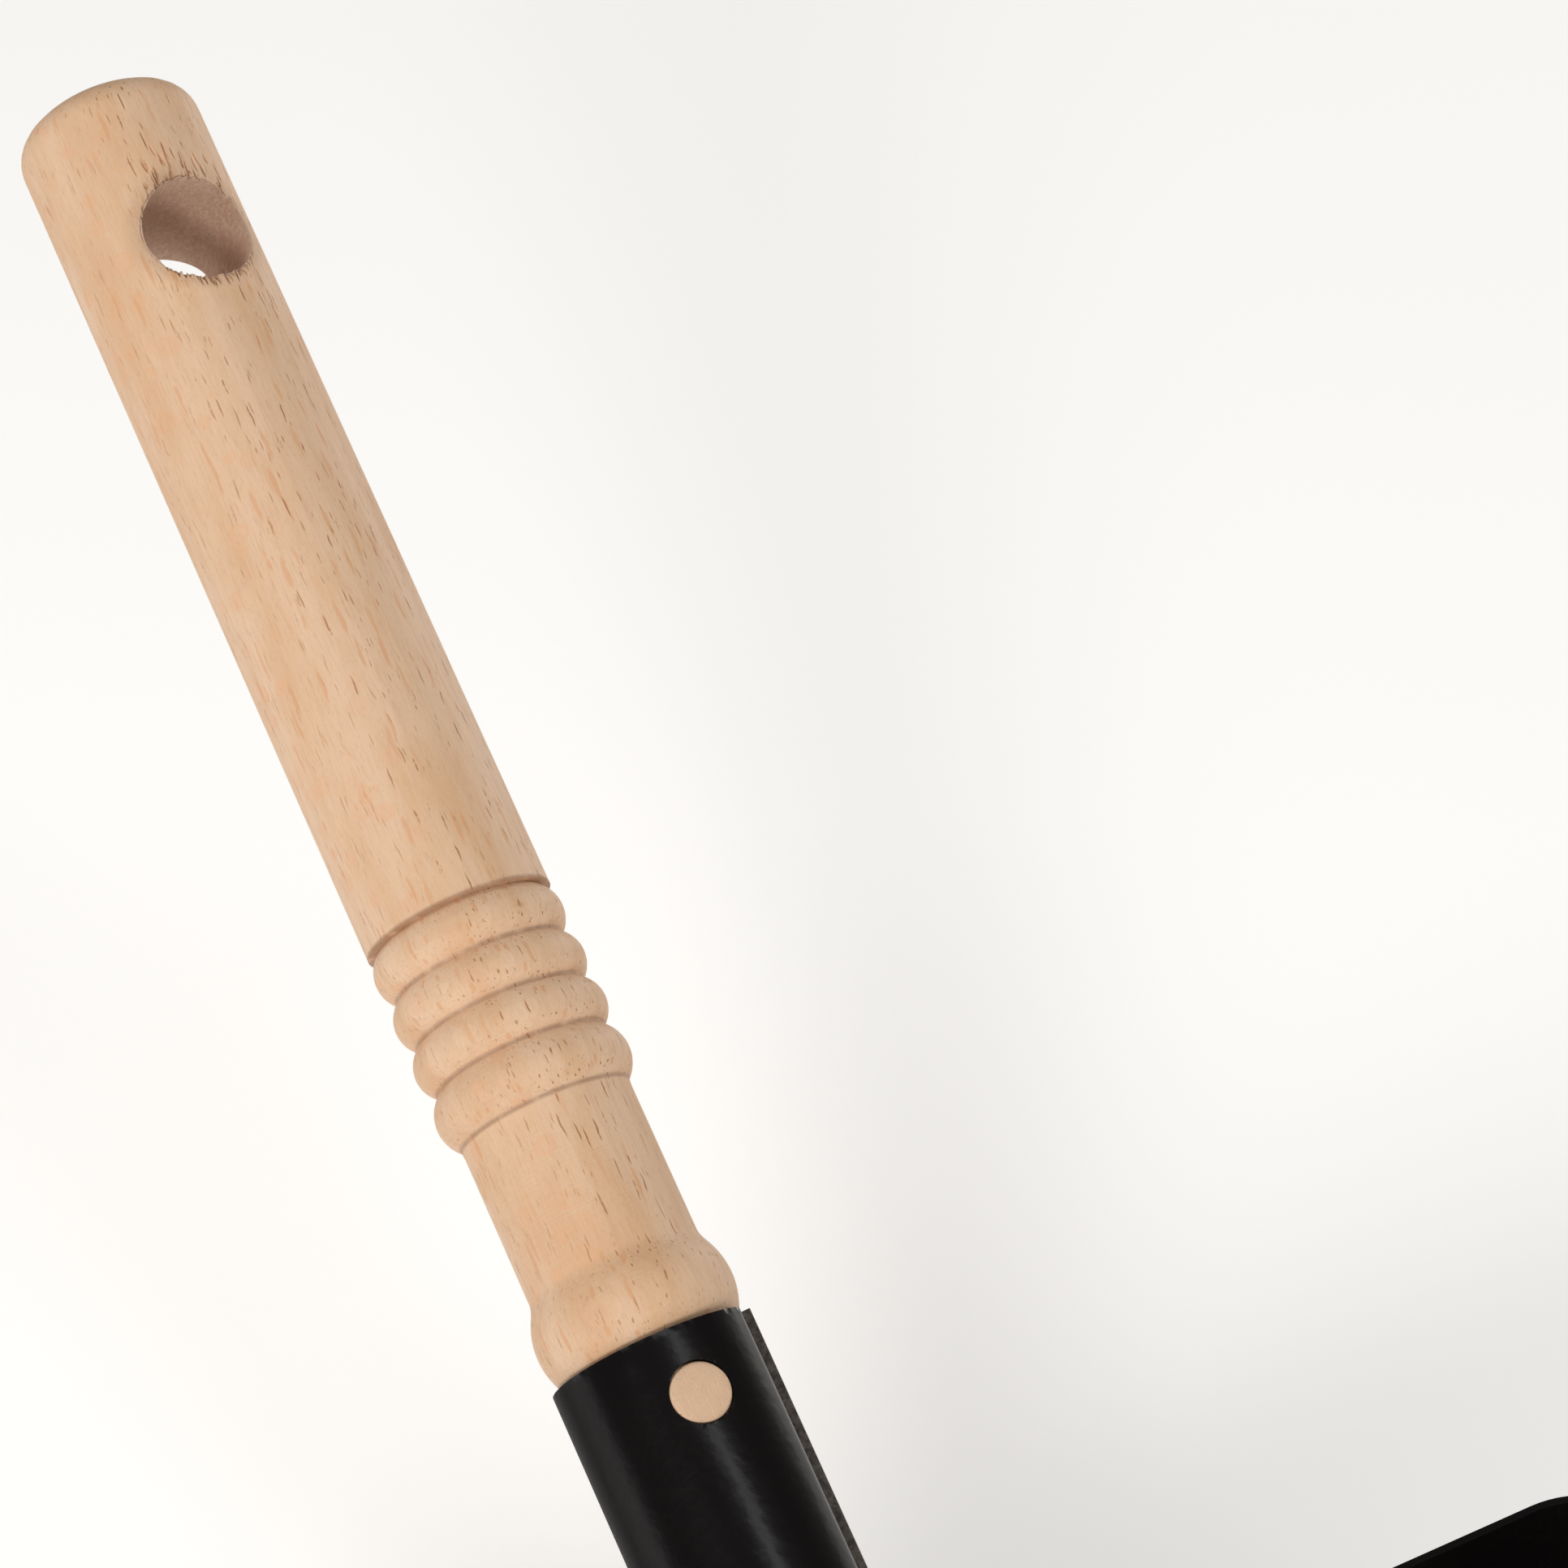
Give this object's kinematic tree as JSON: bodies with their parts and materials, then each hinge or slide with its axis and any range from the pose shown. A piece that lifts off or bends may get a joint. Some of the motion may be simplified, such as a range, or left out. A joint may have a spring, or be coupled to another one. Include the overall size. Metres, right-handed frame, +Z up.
{
  "type": "grain scoop shovel",
  "caption": "Short-handled scoop shovel: flared black sheet-steel pan, riveted and welded rolled socket, pegged turned beech handle with a hang hole.",
  "frame": {"origin": "On the ground under the middle of the shovel's overall length and width, at the height of the pan's underside.", "axes": "+X is to the right as the user looks from the mouth of the pan towards the handle, +Y runs from the mouth towards the tip of the handle, +Z is up from the ground."},
  "size_m": [0.254, 0.482, 0.1851],
  "materials": {
    "turned_beech": "turned and sanded beech, bare or thinly sealed, with short dark ray flecks along the grain",
    "peg_beech": "sawn and sanded end grain of a beech dowel",
    "black_socket_paint": "semi-gloss black paint on rolled sheet steel",
    "black_weld_paint": "semi-gloss black paint over a weld bead",
    "black_pan_paint": "semi-gloss black paint on sheet steel",
    "black_rivet_paint": "semi-gloss black paint over steel rivet heads"
  },
  "bodies": {
    "root": {"handle": "turned_beech", "cross_peg": "peg_beech", "socket": "black_socket_paint", "socket_weld": "black_weld_paint", "socket_plate": "black_pan_paint", "wall_band": "black_pan_paint", "floor_tray": "black_pan_paint", "side_rivet_left_1": "black_rivet_paint", "side_rivet_left_2": "black_rivet_paint", "side_rivet_left_3": "black_rivet_paint", "side_rivet_right_1": "black_rivet_paint", "side_rivet_right_2": "black_rivet_paint", "side_rivet_right_3": "black_rivet_paint", "back_rivet_1": "black_rivet_paint", "back_rivet_2": "black_rivet_paint", "back_rivet_3": "black_rivet_paint", "back_rivet_4": "black_rivet_paint", "plate_rivet_lower_left": "black_rivet_paint", "plate_rivet_lower_right": "black_rivet_paint", "plate_rivet_upper_left": "black_rivet_paint", "plate_rivet_upper_right": "black_rivet_paint"}
  },
  "joints": []
}
